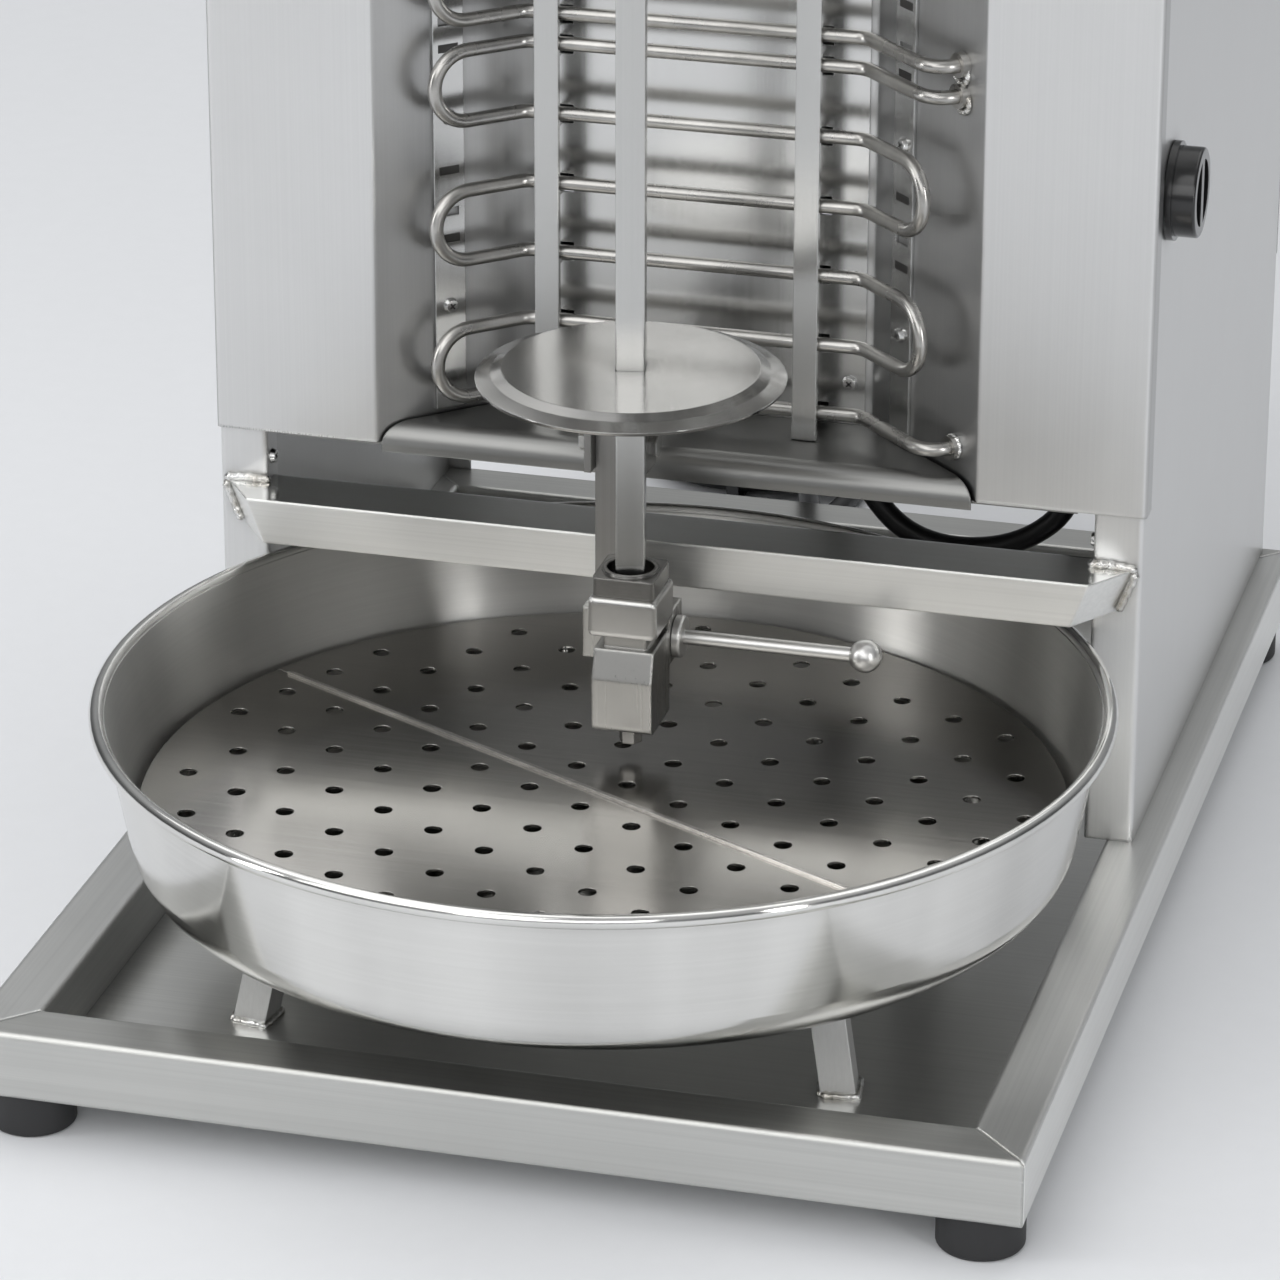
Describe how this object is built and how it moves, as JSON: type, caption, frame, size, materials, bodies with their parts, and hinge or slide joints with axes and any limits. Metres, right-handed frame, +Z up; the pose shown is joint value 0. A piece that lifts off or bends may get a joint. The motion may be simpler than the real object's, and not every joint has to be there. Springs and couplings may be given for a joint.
{
  "type": "doner kebab grill",
  "caption": "Upright electric doner grill in stainless steel: tube elements in a splayed chamber, driven square skewer with disc, clamped lower bearing, round drip pan and tubular base.",
  "frame": {"origin": "on the floor under the middle of the whole grill, its cord left out", "axes": "+Z up, front towards -Y, +X to the right as seen from the front"},
  "size_m": [0.572, 1.2099, 1.0235],
  "materials": {
    "satin_steel": "brushed",
    "polished_steel": "polished",
    "bright_steel": "polished",
    "element_steel": "satin",
    "bearing_steel": "ground",
    "black_rubber": "matt",
    "black_gloss": "gloss",
    "black_plastic": "matt",
    "grey_plastic": "matt",
    "motor_paint": "satin paint",
    "pin_brass": "plated"
  },
  "bodies": {
    "frame": {"arm_bracket": "bearing_steel", "back_reflector": "satin_steel", "base_tray": "satin_steel", "body_floor": "satin_steel", "cable_gland": "black_plastic", "chamber_ceiling": "satin_steel", "chamber_floor": "satin_steel", "coil_tie": "black_plastic", "column_left": "satin_steel", "column_right": "satin_steel", "cord_coil": "black_rubber", "crossbar": "satin_steel", "element_bars": "satin_steel", "element_hooks": "satin_steel", "foot_screws": "bright_steel", "gear_motor": "motor_paint", "hanger_bar": "bearing_steel", "heat_switches": "grey_plastic", "heater_ferrules": "element_steel", "heater_low": "element_steel", "heater_mid": "element_steel", "heater_top": "element_steel", "mains_cord": "black_rubber", "pan_legs": "satin_steel", "panel_screws": "bright_steel", "pivot_bolt": "bright_steel", "plug_body": "black_plastic", "plug_pins": "pin_brass", "rail_front": "satin_steel", "rail_left": "satin_steel", "rail_rear": "satin_steel", "rail_right": "satin_steel", "rear_cover": "satin_steel", "rocker_frame": "black_plastic", "rubber_feet": "black_rubber", "side_left": "satin_steel", "side_right": "satin_steel", "terminal_block": "grey_plastic", "top_arm": "satin_steel", "top_cover": "satin_steel", "wall_strips": "satin_steel"},
    "drive": {"drive_shaft": "bearing_steel", "drive_socket": "bearing_steel"},
    "skewer": {"skewer_bar": "polished_steel", "skewer_disc": "polished_steel"},
    "bearing_block": {"bearing_housing": "bearing_steel", "bearing_cup": "bearing_steel", "thrust_ball": "bright_steel", "clamp_block": "bearing_steel", "block_bolt": "bright_steel"},
    "clamp": {"clamp_screw": "bearing_steel", "lever_ball": "bright_steel"},
    "knob_low": {"knob_low": "black_gloss"},
    "knob_mid": {"knob_mid": "black_gloss"},
    "knob_top": {"knob_top": "black_gloss"},
    "rocker": {"motor_rocker": "black_gloss"},
    "pan": {"drip_pan": "polished_steel", "plate_posts": "satin_steel"},
    "plate_front": {"drip_plate_front": "satin_steel"},
    "plate_rear": {"drip_plate_rear": "satin_steel"}
  },
  "joints": [
    {"name": "drive_turn", "type": "hinge", "parent": "frame", "child": "drive", "pos_m": [0, -0.104, 0.94], "axis": [0, 0, 1], "continuous": true},
    {"name": "skewer_lift", "type": "slide", "parent": "drive", "child": "skewer", "axis": [0, 0, 1], "range_m": [0, 0.022]},
    {"name": "bearing_slide", "type": "slide", "parent": "frame", "child": "bearing_block", "axis": [0, 0, 1], "range_m": [-0.004, 0]},
    {"name": "clamp_turn", "type": "hinge", "parent": "bearing_block", "child": "clamp", "pos_m": [0.02, -0.071, 0.187], "axis": [1, 0, 0], "range_deg": [0, 360]},
    {"name": "knob_low_turn", "type": "hinge", "parent": "frame", "child": "knob_low", "pos_m": [0.269, 0.034, 0.437], "axis": [1, 0, 0], "range_deg": [0, 270]},
    {"name": "knob_mid_turn", "type": "hinge", "parent": "frame", "child": "knob_mid", "pos_m": [0.269, 0.034, 0.6595], "axis": [1, 0, 0], "range_deg": [0, 270]},
    {"name": "knob_top_turn", "type": "hinge", "parent": "frame", "child": "knob_top", "pos_m": [0.269, 0.034, 0.882], "axis": [1, 0, 0], "range_deg": [0, 270]},
    {"name": "rocker_tip", "type": "hinge", "parent": "frame", "child": "rocker", "pos_m": [0.2665, 0.102, 0.882], "axis": [0, -1, 0], "range_deg": [0, 16]},
    {"name": "pan_pull", "type": "slide", "parent": "frame", "child": "pan", "axis": [0, -1, 0], "range_m": [0, 0.12]},
    {"name": "plate_front_lift", "type": "slide", "parent": "pan", "child": "plate_front", "axis": [0, 0, 1], "range_m": [0, 0.1]},
    {"name": "plate_rear_lift", "type": "slide", "parent": "pan", "child": "plate_rear", "axis": [0, 0, 1], "range_m": [0, 0.004]}
  ]
}
